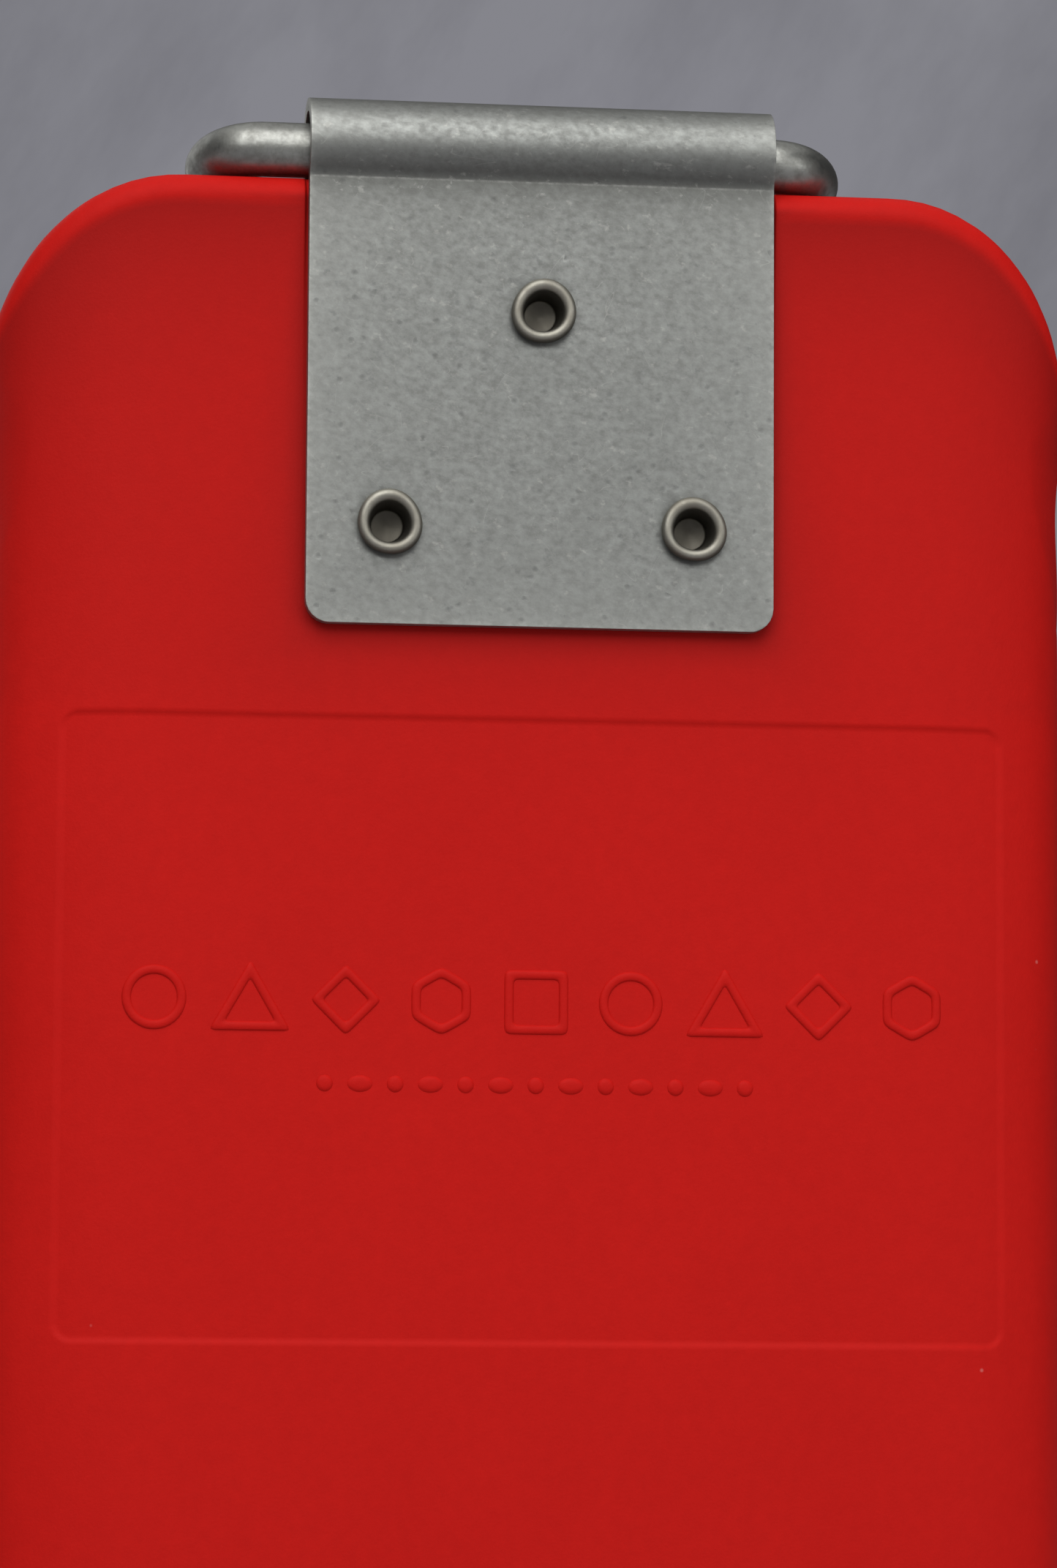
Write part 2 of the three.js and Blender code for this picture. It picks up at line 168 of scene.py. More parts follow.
def crest(w):
    """Height of the rim: level along a tab, a quarter circle of tab_radius at its corner, and past that
    low + fall * exp(-slope * distance / fall) along the front or back wall."""
    x, y = plan(w)[:2]
    over = np.clip(np.abs(y) - (half_depth - tab_radius), 0, tab_radius)
    tab = rim_height - tab_radius + np.sqrt(tab_radius**2 - over**2)
    drop = np.where(y < 0, front_drop, back_drop)
    fall = drop - tab_radius
    run_out = rim_height - drop + fall * np.exp(-(end_length - np.abs(x)) * run_out_slope / fall)
    return np.where(np.abs(y) < half_depth - 1e-6, tab, run_out)


def squeeze(p, q, centre, half, power, reach):
    """Moves points of a plane so that the block |p - p0| < a, |q - q0| < b becomes the superellipse
    |(p - p0)/a|^n + |(q - q0)/b|^n = 1. The move fades out at reach times the block's size. The sum under
    pull is 1 or more except at the centre, where it is held at 1 so that the centre stays in place."""
    u, v = (p - centre[0]) / half[0], (q - centre[1]) / half[1]
    m = np.maximum(np.maximum(np.abs(u), np.abs(v)), 1e-9)
    pull = np.maximum(np.abs(u / m) ** power + np.abs(v / m) ** power, 1) ** (-1 / power)
    scale = 1 + (pull - 1) * smooth((reach - m) / (reach - 1))
    return centre[0] + (p - centre[0]) * scale, centre[1] + (q - centre[1]) * scale, m


def grid_faces(rows, columns, wrap_rows, wrap_columns):
    """Quads of a grid of points, as indices with shape (rows, columns, 4)."""
    i = np.arange(rows if wrap_rows else rows - 1)[:, None]
    j = np.arange(columns if wrap_columns else columns - 1)[None, :]
    i2, j2 = (i + 1) % rows, (j + 1) % columns
    return np.stack([i * columns + j, i * columns + j2, i2 * columns + j2, i2 * columns + j], -1)


def block_edge(r0, r1, c0, c1):
    """Rows and columns of the grid points round a block, in order."""
    rows = [np.full(c1 - c0, r0), np.arange(r0, r1), np.full(c1 - c0, r1), np.arange(r1, r0, -1)]
    columns = [np.arange(c0, c1), np.full(r1 - r0, c1), np.arange(c1, c0, -1), np.full(r1 - r0, c0)]
    return np.concatenate(rows), np.concatenate(columns)


def new_piece(name, points, faces, material, masks=None):
    """A smooth object from points in millimetres and quads of their indices. Points that no quad uses are
    dropped, and masks are values at the points that its material reads by name."""
    used, faces = np.unique(faces.reshape(-1, 4), return_inverse=True)
    points = points.reshape(-1, 3)[used]
    mesh = bpy.data.meshes.new(name)
    mesh.vertices.add(len(points))
    mesh.vertices.foreach_set("co", (points * mm).astype(np.float32).ravel())
    mesh.loops.add(faces.size)
    mesh.loops.foreach_set("vertex_index", faces.astype(np.int32).ravel())
    mesh.polygons.add(faces.size // 4)
    mesh.polygons.foreach_set("loop_start", np.arange(0, faces.size, 4, dtype=np.int32))
    for mask, values in (masks or {}).items():
        layer = mesh.attributes.new(mask, "FLOAT", "POINT")
        layer.data.foreach_set("value", values.reshape(-1)[used].astype(np.float32))
    mesh.update(calc_edges=True)
    mesh.shade_smooth()
    mesh.materials.append(material)
    made = bpy.data.objects.new(name, mesh)
    bpy.context.scene.collection.objects.link(made)
    return made


def weld(made):
    """Joins the points that lie together, where a grid closes to one point."""
    work = bmesh.new()
    work.from_mesh(made.data)
    bmesh.ops.remove_doubles(work, verts=work.verts, dist=1e-6)
    work.to_mesh(made.data)
    work.free()
    return made


def bucket_shell(material):
    """The closed skin on a grid: arc length w across, and up each column the underside, the outer face, the
    lip, the inner face and the floor, back to the drain. Both faces share one net of places (w, z), which is
    squeezed to the outline of the leg openings, and depth tells them apart."""
    rivet_y = rivet_places["back"][1]
    stops = [0, rivet_hole, rivet_y - rivet_hole, rivet_y + rivet_hole]
    stops += [clip_edge - clip_band, clip_edge + clip_band, panel_half - panel_band, panel_half + 1, bend_end]
    opening_middle, opening_out = quarter - opening_x, opening_half[0] + opening_lip
    stops += [opening_middle - opening_out, opening_middle + opening_out, quarter]
    t = steps(stops, [3, 4, 6, 3, 6, 11, 12, 2, 11, 26, 6])
    w = np.concatenate([-t[:0:-1], t[:-1], 2 * quarter - t[:0:-1], 2 * quarter + t[:-1]])

    # net: rows of the round bottom, of the upright wall, and of the band under the rim
    bend_z = bottom_radius * (1 - np.sin(np.radians(np.arange(90, 0, -6))))
    opening_top = opening_z + opening_half[1] + opening_lip
    band_bottom = 205.0
    z_stops = [bottom_radius, panel_bottom - 0.5, panel_bottom + panel_band, opening_top]
    z_stops += [panel_top - panel_band, panel_top + 0.5, band_bottom]
    wall_z = steps(z_stops, [11, 11, 12, 14, 11, 1])
    low_z = np.concatenate([bend_z, wall_z[:-1]])
    net_w, net_z = np.broadcast_arrays(w[None, :], low_z[:, None])

    # band: square to the rim near it, upright at the band's bottom, and a cubic curve in between
    top = crest(w)
    slope = (crest(w + 0.05) - crest(w - 0.05)) / 0.1
    square = np.stack([-slope, np.ones_like(w)], -1) / np.sqrt(1 + slope**2)[:, None]
    rim = np.stack([w, top], -1)
    near = np.array([12.0, 10.2, 8.6, 7.3, 6.2, 5.3, 4.6, lip_radius])
    base = np.stack([w, np.full_like(w, band_bottom)], -1)
    end = rim - near[0] * square
    length = np.linalg.norm(end - base, axis=-1, keepdims=True)
    rivet_z = [rivet_places[n][2] + d for n in ("back", "top") for d in (-rivet_hole, rivet_hole)]
    rivet_share = (np.array(rivet_z) - band_bottom) / (rim_height - near[0] - band_bottom)
    s = steps([0, *rivet_share, 1], [5, 6, 6, 6, 2])[:-1, None, None]
    curve = (2 * s**3 - 3 * s**2 + 1) * base + (s**3 - 2 * s**2 + s) * length * np.array([0.0, 1.0])
    curve = curve + (3 * s**2 - 2 * s**3) * end + (s**3 - s**2) * length * square
    band = np.concatenate([curve, rim - near[:, None, None] * square])
    near_rim = np.broadcast_to(near[:, None], (len(near), len(w)))
    from_rim = np.concatenate([near[0] + (1 - s[..., 0]) * length[:, 0], near_rim])
    net_w = np.concatenate([net_w, band[..., 0]])
    net_z = np.concatenate([net_z, band[..., 1]])
    from_rim = np.concatenate([np.full((len(low_z), len(w)), out_of_reach), from_rim])

    # leg openings and rivet holes: centre, half sizes at the sheet's edge, exponent, lip, bead, mesh reach
    leg_half = opening_half + opening_lip
    legs = [
        ((w_middle, opening_z), leg_half, opening_power, opening_lip, opening_bead, opening_reach)
        for w_middle in (opening_x - quarter, 3 * quarter - opening_x)
    ]
    hole_half = np.array([rivet_hole, rivet_hole])
    holes = [
        ((w_middle + rivet_places[n][1], rivet_places[n][2]), hole_half, 2.0, 0.0, 0.0, hole_reach)
        for w_middle in (0, 2 * quarter)
        for n in rivet_names
    ]
    start_z = net_z
    near_opening = np.full(net_w.shape, out_of_reach)
    for centre, half, power, _, bead_height, mesh_reach in legs + holes:
        net_w, net_z, m = squeeze(net_w, net_z, centre, half, power, mesh_reach)
        if bead_height:
            near_opening = np.minimum(near_opening, np.clip(m - 1, 0, None) * half[0])
    bead = opening_bead * np.exp(-near_opening / opening_fade)

    # depth of the outer face: panel, lip and beads
    along = np.abs(np.mod(net_w + quarter, 2 * quarter) - quarter)
    middle = (panel_top + panel_bottom) / 2
    dx = along - (panel_half - panel_corner)
    dz = np.abs(net_z - middle) - ((panel_top - panel_bottom) / 2 - panel_corner)
    past_corner = np.hypot(np.maximum(dx, 0), np.maximum(dz, 0))
    inside = panel_corner - past_corner - np.minimum(np.maximum(dx, dz), 0)
    panel = panel_depth * smooth(inside / panel_edge)
    free = smooth((along - clip_edge) / 0.5 + 0.5)
    swell = lip_proud * free * np.exp(-(from_rim - lip_radius) / lip_fade)
    outer = skin(net_w, net_z, panel - swell - bead)
    inner = skin(net_w, net_z, wall + bead)

    # lip: half an ellipse from the outer face to the inner face
    a = np.linspace(0, math.pi, 13)[1:-1, None]
    lip_plane = rim - (lip_radius * (1 - np.sin(a)))[..., None] * square
    lip_half = (wall + lip_proud * free[-1]) / 2
    lip = skin(lip_plane[..., 0], lip_plane[..., 1], wall - lip_half - lip_half * np.cos(a))

    # floor: from the foot of the walls to the drain, whose edges are rounded
    foot = outer[0, :, :2]
    towards = foot / np.linalg.norm(foot, axis=-1, keepdims=True)
    share = np.array([0.8, 0.6, 0.42, 0.26, 0.12, 0.04, 0.0])[:, None, None]
    flat = foot * share + towards * (drain_radius + drain_rounding) * (1 - share)
    b = np.radians([22.5, 45, 67.5, 90])[:, None, None]
    edge = towards * (drain_radius + drain_rounding * (1 - np.sin(b)))
    edge_z = np.broadcast_to(drain_rounding * (1 - np.cos(b)), edge[..., :1].shape)
    under = np.concatenate([flat, edge])
    under_z = np.concatenate([np.zeros_like(flat[..., :1]), edge_z])
    floor_out = np.concatenate([under, under_z], -1)
    floor_in = np.concatenate([under, wall - under_z], -1)

    points = np.concatenate([outer, lip, inner[::-1], floor_in, floor_out[::-1]])
    rows, columns = points.shape[:2]
    faces = grid_faces(rows, columns, True, True)
    kept = np.ones((rows, columns), bool)
    net_rows = len(net_w)
    last = net_rows + len(lip) + net_rows - 1  # row of the inner face's foot
    extra_points, extra_faces = [], []
    count = rows * columns
    turn = np.linspace(0, math.pi, 9)[1:-1, None]
    for centre, half, power, lip_reach, bead_height, _ in legs + holes:
        c0, c1 = (int(np.argmin(np.abs(w - centre[0] - d))) for d in (-half[0], half[0]))
        column_z = start_z[:, (c0 + c1) // 2]
        r0, r1 = (int(np.argmin(np.abs(column_z - centre[1] - d))) for d in (-half[1], half[1]))
        kept[r0:r1, c0:c1] = False
        kept[last - r1 : last - r0, c0:c1] = False
        r, c = block_edge(r0, r1, c0, c1)
        u, v = (net_w[r, c] - centre[0]) / half[0], (net_z[r, c] - centre[1]) / half[1]
        grad_u = np.sign(u) * np.abs(u) ** (power - 1) / half[0]
        grad_v = np.sign(v) * np.abs(v) ** (power - 1) / half[1]
        reach = lip_reach * np.sin(turn) / np.hypot(grad_u, grad_v)
        depth = wall / 2 - (wall / 2 + bead_height) * np.cos(turn) * np.ones_like(u)
        ring = skin(net_w[r, c] - reach * grad_u, net_z[r, c] - reach * grad_v, depth)
        index = count + np.arange(depth.size).reshape(depth.shape)
        index = np.concatenate([(r * columns + c)[None], index, ((last - r) * columns + c)[None]])
        ahead = np.roll(index, -1, axis=1)
        extra_faces.append(np.stack([index[:-1], ahead[:-1], ahead[1:], index[1:]], -1).reshape(-1, 4))
        extra_points.append(ring.reshape(-1, 3))
        count += depth.size
    faces = np.concatenate([faces[kept], *extra_faces])
    all_points = np.concatenate([points.reshape(-1, 3), *extra_points])

    # painted shade: the colour is darkened in the hollow under the lip, more faintly down the upper wall, and
    # round the clip, where shade falls, each as a narrow fade and a wide one
    under = from_rim - lip_radius
    shade_under_lip = smooth(under / 2) * (0.6 * np.exp(-under / 14.0) + 0.4 * np.exp(-under / 75.0))
    from_clip = np.hypot(np.clip(along - clip_high[1], 0, None), np.clip(clip_low[2] - net_z, 0, None))
    shade_round_clip = 0.65 * np.exp(-from_clip / 13.0) + 0.35 * np.exp(-from_clip / 1.6)
    painted_rubber_shade = np.zeros((rows, columns))
    painted_rubber_shade[:net_rows] = np.maximum(shade_under_lip, shade_round_clip)
    painted_rubber_shade = np.concatenate([painted_rubber_shade.ravel(), np.zeros(count - rows * columns)])
    return new_piece("bucket_shell", all_points, faces, material, {"painted_rubber_shade": painted_rubber_shade})


def add_node(tree, kind, inputs=None, **settings):
    """A shader node with its settings, and each named or numbered input set to a value or linked."""
    node = tree.nodes.new("ShaderNode" + kind)
    for key, value in settings.items():
        setattr(node, key, value)
    for key, value in (inputs or {}).items():
        if isinstance(value, bpy.types.NodeSocket):
            tree.links.new(value, node.inputs[key])
        else:
            node.inputs[key].default_value = value
    return node


def mix_colour(tree, factor, a, b, blend="MIX"):
    """Colour a where factor is 0 and colour b, or a blended with b, where it is 1."""
    node = add_node(tree, "Mix", {0: factor, 6: a, 7: b}, data_type="RGBA", blend_type=blend)
    return node.outputs[2]


def spread(tree, value, low, high, out_low=0.0, out_high=1.0):
    """value mapped from low..high to out_low..out_high, and held at the ends."""
    inputs = {"Value": value, "From Min": low, "From Max": high, "To Min": out_low, "To Max": out_high}
    return add_node(tree, "MapRange", inputs).outputs[0]


def math_node(tree, operation, a, b=0.0):
    """One operation on a and b."""
    return add_node(tree, "Math", {0: a, 1: b}, operation=operation).outputs[0]


def effect(name, inputs, outputs):
    """An empty node group with float or vector inputs, each with a default, and float outputs."""
    tree = bpy.data.node_groups.new(name, "ShaderNodeTree")
    for key, value in inputs.items():
        kind = "NodeSocketVector" if value is None else "NodeSocketFloat"
        socket = tree.interface.new_socket(key, in_out="INPUT", socket_type=kind)
        if value is not None:
            socket.default_value = value
    for key in outputs:
        tree.interface.new_socket(key, in_out="OUTPUT", socket_type="NodeSocketFloat")
    return tree, tree.nodes.new("NodeGroupInput").outputs, tree.nodes.new("NodeGroupOutput").inputs


def place(tree, group, inputs):
    """Puts a node group in a material with its inputs set or linked, and returns its outputs."""
    node = tree.nodes.new("ShaderNodeGroup")
    node.node_tree = group
    for key, value in inputs.items():
        if isinstance(value, bpy.types.NodeSocket):
            tree.links.new(value, node.inputs[key])
        else:
            node.inputs[key].default_value = value
    return node.outputs


def make_mottle():
    """Cloudy patches at one size with finer patches in them, from 0 to 1."""
    inputs = {"Place": None, "Patches per metre": 60.0, "Contrast": 0.25}
    tree, given, out = effect("mottle", inputs, ["Mask"])
    texture = {"Vector": given[0], "Scale": given[1], "Detail": 6.0, "Roughness": 0.62}
    patches = add_node(tree, "TexNoise", texture)
    low = math_node(tree, "SUBTRACT", 0.5, given[2])
    high = math_node(tree, "ADD", 0.5, given[2])
    tree.links.new(spread(tree, patches.outputs[0], low, high), out[0])
    return tree


def make_grain():
    """Fine even pitting of a moulded or plated surface, as a height from 0 to 1."""
    tree, given, out = effect("grain", {"Place": None, "Grains per metre": 1500.0}, ["Height"])
    texture = {"Vector": given[0], "Scale": given[1], "Detail": 3.0, "Roughness": 0.6}
    noise = add_node(tree, "TexNoise", texture)
    tree.links.new(noise.outputs[0], out[0])
    return tree


def make_specks():
    """Sparse round specks: the cells of a Voronoi pattern whose random value is high, near their centres."""
    inputs = {"Place": None, "Cells per metre": 250.0, "Share": 0.03, "Size": 0.12}
    tree, given, out = effect("specks", inputs, ["Mask"])
    cells = add_node(tree, "TexVoronoi", {"Vector": given[0], "Scale": given[1]})
    chance = add_node(tree, "SeparateColor", {0: cells.outputs["Color"]}).outputs[0]
    chosen = math_node(tree, "LESS_THAN", chance, given[2])
    fade = spread(tree, cells.outputs["Distance"], given[3], 0.0)
    tree.links.new(math_node(tree, "MULTIPLY", chosen, fade), out[0])
    return tree


mottle = make_mottle()
grain = make_grain()
specks = make_specks()


def new_material(name, **values):
    """A material whose Principled shader has these sockets set, with the piece's own coordinates."""
    made = bpy.data.materials.new(name)
    made.use_nodes = True
    tree = made.node_tree
    shader = tree.nodes["Principled BSDF"]
    for key, value in values.items():
        shader.inputs[key.replace("_", " ")].default_value = value
    return made, tree, shader, tree.nodes.new("ShaderNodeTexCoord").outputs["Object"]


def red_rubber():
    """Slightly cloudy red with a fine stipple and sparse pale dust, darker where painted shade lies under the
    lip and round the clip.
    """
    made, tree, shader, here = new_material("red_rubber", IOR=1.48, Specular_IOR_Level=0.06)
    cloud = place(tree, mottle, {"Place": here, "Patches per metre": 28.0, "Contrast": 0.3})[0]
    fine = place(tree, mottle, {"Place": here, "Patches per metre": 420.0, "Contrast": 0.3})[0]
    dust = place(tree, specks, {"Place": here, "Cells per metre": 210.0, "Share": 0.035, "Size": 0.1})[0]
    stipple = place(tree, grain, {"Place": here, "Grains per metre": 1700.0})[0]
    colour = mix_colour(tree, cloud, (0.455, 0.0078, 0.0056, 1), (0.50, 0.0092, 0.0066, 1))
    colour = mix_colour(tree, spread(tree, fine, 0, 1, 0, 0.5), colour, (0.39, 0.0066, 0.005, 1))
    # painted shade: the red darkens under the lip and round the clip, from the mask the shell carries
    painted_rubber_shade = add_node(tree, "Attribute", attribute_name="painted_rubber_shade").outputs["Fac"]
    colour = mix_colour(tree, spread(tree, painted_rubber_shade, 0, 1, 0, 0.75), colour, (0.24, 0.007, 0.006, 1))
    colour = mix_colour(tree, spread(tree, dust, 0, 1, 0, 0.5), colour, (0.62, 0.28, 0.25, 1))
    tree.links.new(colour, shader.inputs["Base Color"])
    tree.links.new(spread(tree, cloud, 0, 1, 0.5, 0.6), shader.inputs["Roughness"])
    bump = add_node(tree, "Bump", {"Height": stipple, "Strength": 0.45, "Distance": 0.0001})
    tree.links.new(bump.outputs[0], shader.inputs["Normal"])
    return made


rubber = red_rubber()
bucket = bucket_shell(rubber)
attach(bucket, "seat")
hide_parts("seat_shell")

# ----------------------------------------------------------------------------------------------------------
# Raised pattern
# Plain shapes in outline, with a row of small buttons under them, moulded about 0.4 mm proud of the sunk
# panel of each side wall and in the same rubber.
# ----------------------------------------------------------------------------------------------------------

shape_row = 150.0
shape_pitch = 17.2
shape_height = 9.9  # between the middles of the strokes
stroke = 1.7
button_row = 135.0
button_pitch = 6.35
raised = 0.42
sunk_foot = 0.15  # the pattern's foot goes this far into the panel
shape_count = 9
button_count = 13
button_half_widths = (1.5, 2.3)  # round and long ones take turns
button_half_height = 1.5


def polygon_radius(turn, sides, start):
    """Distance to the outline of a regular polygon of inside radius 1 with rounded corners, in the direction
    turn: (sum of max(0, cos(turn - t))^p)^(-1/p) over the directions t that its sides face."""
    facing = start + 2 * math.pi * np.arange(sides) / sides
    power = 12 if sides < 8 else 2
    cosines = np.clip(np.cos(turn[..., None] - facing), 0, None)
    radius = (cosines**power).sum(-1) ** (-1 / power)
    return radius / radius.min()


def raised_pattern(name, material, w_middle):
    """Outlines are strips (offset across, turn round) whose height is h(1 - x^4), between two outlines of
    one shape at a constant distance; buttons are the same from the centre outwards, and skin puts both on
    the panel."""
    points, faces, count = [], [], 0
    turn = np.linspace(0, 2 * math.pi, 97)[None, :-1]
    across = np.array([-1, -1, -0.97, -0.85, -0.6, 0, 0.6, 0.85, 0.97, 1, 1])[:, None]
    lift = raised * (1 - across**4)
    lift[0] = lift[-1] = -sunk_foot
    kinds = [(40, 0.0), (3, -math.pi / 2), (4, math.pi / 4), (6, 0.0), (4, 0.0)]
    for i in range(shape_count):
        sides, start = kinds[i % len(kinds)]
        radius = polygon_radius(turn, sides, start)
        rise = radius * np.sin(turn)
        size = shape_height / (rise.max() - rise.min())
        radius = radius * (size + across * stroke / 2)
        u = (i - shape_count // 2) * shape_pitch + radius * np.cos(turn)
        v = shape_row - size * (rise.max() + rise.min()) / 2 + radius * np.sin(turn)
        points.append(skin(w_middle + u, v, panel_depth - lift * np.ones_like(u)).reshape(-1, 3))
        faces.append(count + grid_faces(*u.shape, True, True)[..., ::-1].reshape(-1, 4))
        count += u.size
    turn = turn[:, ::4]
    share = np.array([0, 0.4, 0.7, 0.88, 0.97, 1, 1, 0])[:, None]
    lift = raised * (1 - share**4)
    lift[-2:] = -sunk_foot
    for i in range(button_count):
        u = (i - button_count // 2) * button_pitch + button_half_widths[i % 2] * share * np.cos(turn)
        v = button_row + button_half_height * share * np.sin(turn)
        points.append(skin(w_middle + u, v, panel_depth - lift * np.ones_like(u)).reshape(-1, 3))
        faces.append(count + grid_faces(*u.shape, False, True)[..., ::-1].reshape(-1, 4))
        count += u.size
    return weld(new_piece(name, np.concatenate(points), np.concatenate(faces), material))


for name, w_middle in (("right_pattern", 0), ("left_pattern", 2 * quarter)):
    pattern = raised_pattern(name, rubber, w_middle)
    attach(pattern, "seat")

# ----------------------------------------------------------------------------------------------------------
# Hanger clips
# One zinc-plated steel sheet, folded round the dee ring's bar and down both faces of the wall, with three
# rivet holes through both legs. The sheet is sheared, so its edges are barely broken.
# ----------------------------------------------------------------------------------------------------------

wall_middle = half_width - wall / 2
sheet = 2.4
seat_gap = 0.3  # between parts that are clamped together
broken_edge = 0.35
clip_corner = 4.3
barrel_radius = (clip_high[0] - clip_low[0]) / 2 - sheet / 2  # of the sheet's middle
barrel_height = clip_high[2] - barrel_radius - sheet / 2
leg_x = wall / 2 + seat_gap + sheet / 2
crease_radius = 3.0 + sheet / 2


def clip_sheet(name, material, side):
    """The sheet's middle surface, then Solidify and Bevel. Up a column the path is the leg, a crease arc, the
    barrel's arc to its top, and the same back down; across, y is scaled to round the lower corners. Blocks of
    the grid are squeezed to the rivet holes."""
    half = clip_high[1]
    bottom = clip_low[2]
    crease_x = leg_x + crease_radius
    crease_y = -math.sqrt((barrel_radius + crease_radius) ** 2 - crease_x**2)
    lean = math.atan2(crease_y, crease_x)
    hole_y = [rivet_places[n][1] for n in ("front", "top", "back")]
    low_z = rivet_places["front"][2]
    top_z = rivet_places["top"][2]

    hole_cells = 8  # grid cells across a rivet hole
    edge_strip = 1.5  # finer cells beside the sheet's edges
    y_stops = [-half, -half + edge_strip]
    for y in hole_y:
        y_stops += [y - rivet_hole, y + rivet_hole]
    y = steps([*y_stops, half - edge_strip, half], [3, 4, hole_cells, 8, hole_cells, 8, hole_cells, 4, 3])
    b = np.radians(np.arange(0, 90, 15))
    round_z = bottom + clip_corner * (1 - np.cos(b))
    z_stops = [bottom + clip_corner, low_z - rivet_hole, low_z + rivet_hole, top_z - rivet_hole]
    z_stops += [top_z + rivet_hole, barrel_height + crease_y]
    leg_z = np.concatenate([round_z, steps(z_stops, [3, hole_cells, 10, hole_cells, 6])])
    c = np.linspace(math.pi, math.pi + lean, 8)[1:]
    d = np.linspace(lean, math.pi / 2, 30)[1:]
    crease_arc = crease_x + crease_radius * np.cos(c), crease_y + crease_radius * np.sin(c)
    barrel_arc = barrel_radius * np.cos(d), barrel_radius * np.sin(d)
    path_x = np.concatenate([np.full_like(leg_z, leg_x), crease_arc[0], barrel_arc[0]])
    path_z = np.concatenate([leg_z - barrel_height, crease_arc[1], barrel_arc[1]]) + barrel_height
    path_x = np.concatenate([path_x, -path_x[-2::-1]])
    path_z = np.concatenate([path_z, path_z[-2::-1]])
    rows = len(path_x)

    rise = np.clip(clip_corner - (path_z - bottom), 0, None)
    width = half - clip_corner + np.sqrt(clip_corner**2 - rise**2)
    net_y, net_z = np.broadcast_arrays(y[None, :], path_z[:, None])
    net_y = net_y * width[:, None] / half
    leg = np.arange(rows)[:, None] * np.ones(len(y))[None]
    legs = (leg < len(leg_z)) | (leg >= rows - len(leg_z))
    kept = np.ones((rows - 1, len(y) - 1), bool)
    for name_of in rivet_names:
        centre = rivet_places[name_of][1:]
        y2, z2, _ = squeeze(net_y, net_z, centre, (rivet_hole, rivet_hole), 2.0, hole_reach)
        net_y, net_z = np.where(legs, y2, net_y), np.where(legs, z2, net_z)
        c0 = int(np.argmin(np.abs(y - (centre[0] - rivet_hole))))
        r0 = int(np.argmin(np.abs(leg_z - (centre[1] - rivet_hole))))
        last = rows - 1 - r0
        kept[r0 : r0 + hole_cells, c0 : c0 + hole_cells] = False
        kept[last - hole_cells : last, c0 : c0 + hole_cells] = False
    x = np.broadcast_to(path_x[:, None], net_y.shape)
    points = np.stack([side * (wall_middle + x), net_y, net_z], -1)
    faces = grid_faces(rows, len(y), False, False)[kept]
    if side > 0:  # so that the faces of both sides turn outwards
        faces = faces[:, ::-1]
    to_edge = np.minimum(width[:, None] - np.abs(net_y), np.where(legs, net_z - bottom, out_of_reach))
    crease = np.zeros(net_y.shape)
    crease[[len(leg_z), rows - 1 - len(leg_z)]] = 1.0
    # painted shade and reflection: the colour is darkened just below the crease, where the barrel shades the
    # leg, over the barrel's lower half and in a band along its top, where it reflects dark surroundings
    below = np.where(legs, leg_z[-1] - net_z, 0.0)
    up_barrel = (net_z - barrel_height) / barrel_radius
    on_barrel = np.maximum(smooth(0.15 - up_barrel), 0.45 * smooth(4 * up_barrel - 2.6))
    painted_zinc_shade_and_reflection = np.where(legs, np.exp(-below / 3.5), on_barrel)
    masks = {"edge": np.exp(-to_edge / 0.5), "border": np.exp(-to_edge / 9.0), "crease": crease, "painted_zinc_shade_and_reflection": painted_zinc_shade_and_reflection}
    made = new_piece(name, points, faces, material, masks)
    solid = made.modifiers.new("thickness", "SOLIDIFY")
    solid.thickness = sheet * mm
    solid.offset = 0
    bevel = made.modifiers.new("broken_edge", "BEVEL")
    bevel.width = broken_edge * mm
    bevel.segments = 3
    bevel.limit_method = "ANGLE"
    bevel.angle_limit = math.radians(50)
    return made


def make_scratches():
    """Thin scratches along one direction: stretched noise, kept only near the middle of its range, and broken
    up by a second noise. Turn and stretch the place before it comes in."""
    inputs = {"Place": None, "Lines per metre": 90.0, "Width": 0.004}
    tree, given, out = effect("scratches", inputs, ["Mask"])
    texture = {"Vector": given[0], "Scale": given[1], "Detail": 1.0, "Roughness": 0.4}
    lines = add_node(tree, "TexNoise", texture)
    away = math_node(tree, "ABSOLUTE", math_node(tree, "SUBTRACT", lines.outputs[0], 0.5))
    line = spread(tree, away, given[2], 0.0)
    finer = math_node(tree, "MULTIPLY", given[1], 2.3)
    broken = add_node(tree, "TexNoise", {"Vector": given[0], "Scale": finer})
    tree.links.new(math_node(tree, "MULTIPLY", line, spread(tree, broken.outputs[0], 0.52, 0.62)), out[0])
    return tree


scratches = make_scratches()


def stretched(tree, here, turn, scale):
    """Coordinates turned by turn (degrees about X, Y, Z) and then stretched by scale."""
    turned = add_node(tree, "Mapping", {"Vector": here, "Rotation": [math.radians(a) for a in turn]})
    return add_node(tree, "Mapping", {"Vector": turned.outputs[0], "Scale": scale}).outputs[0]


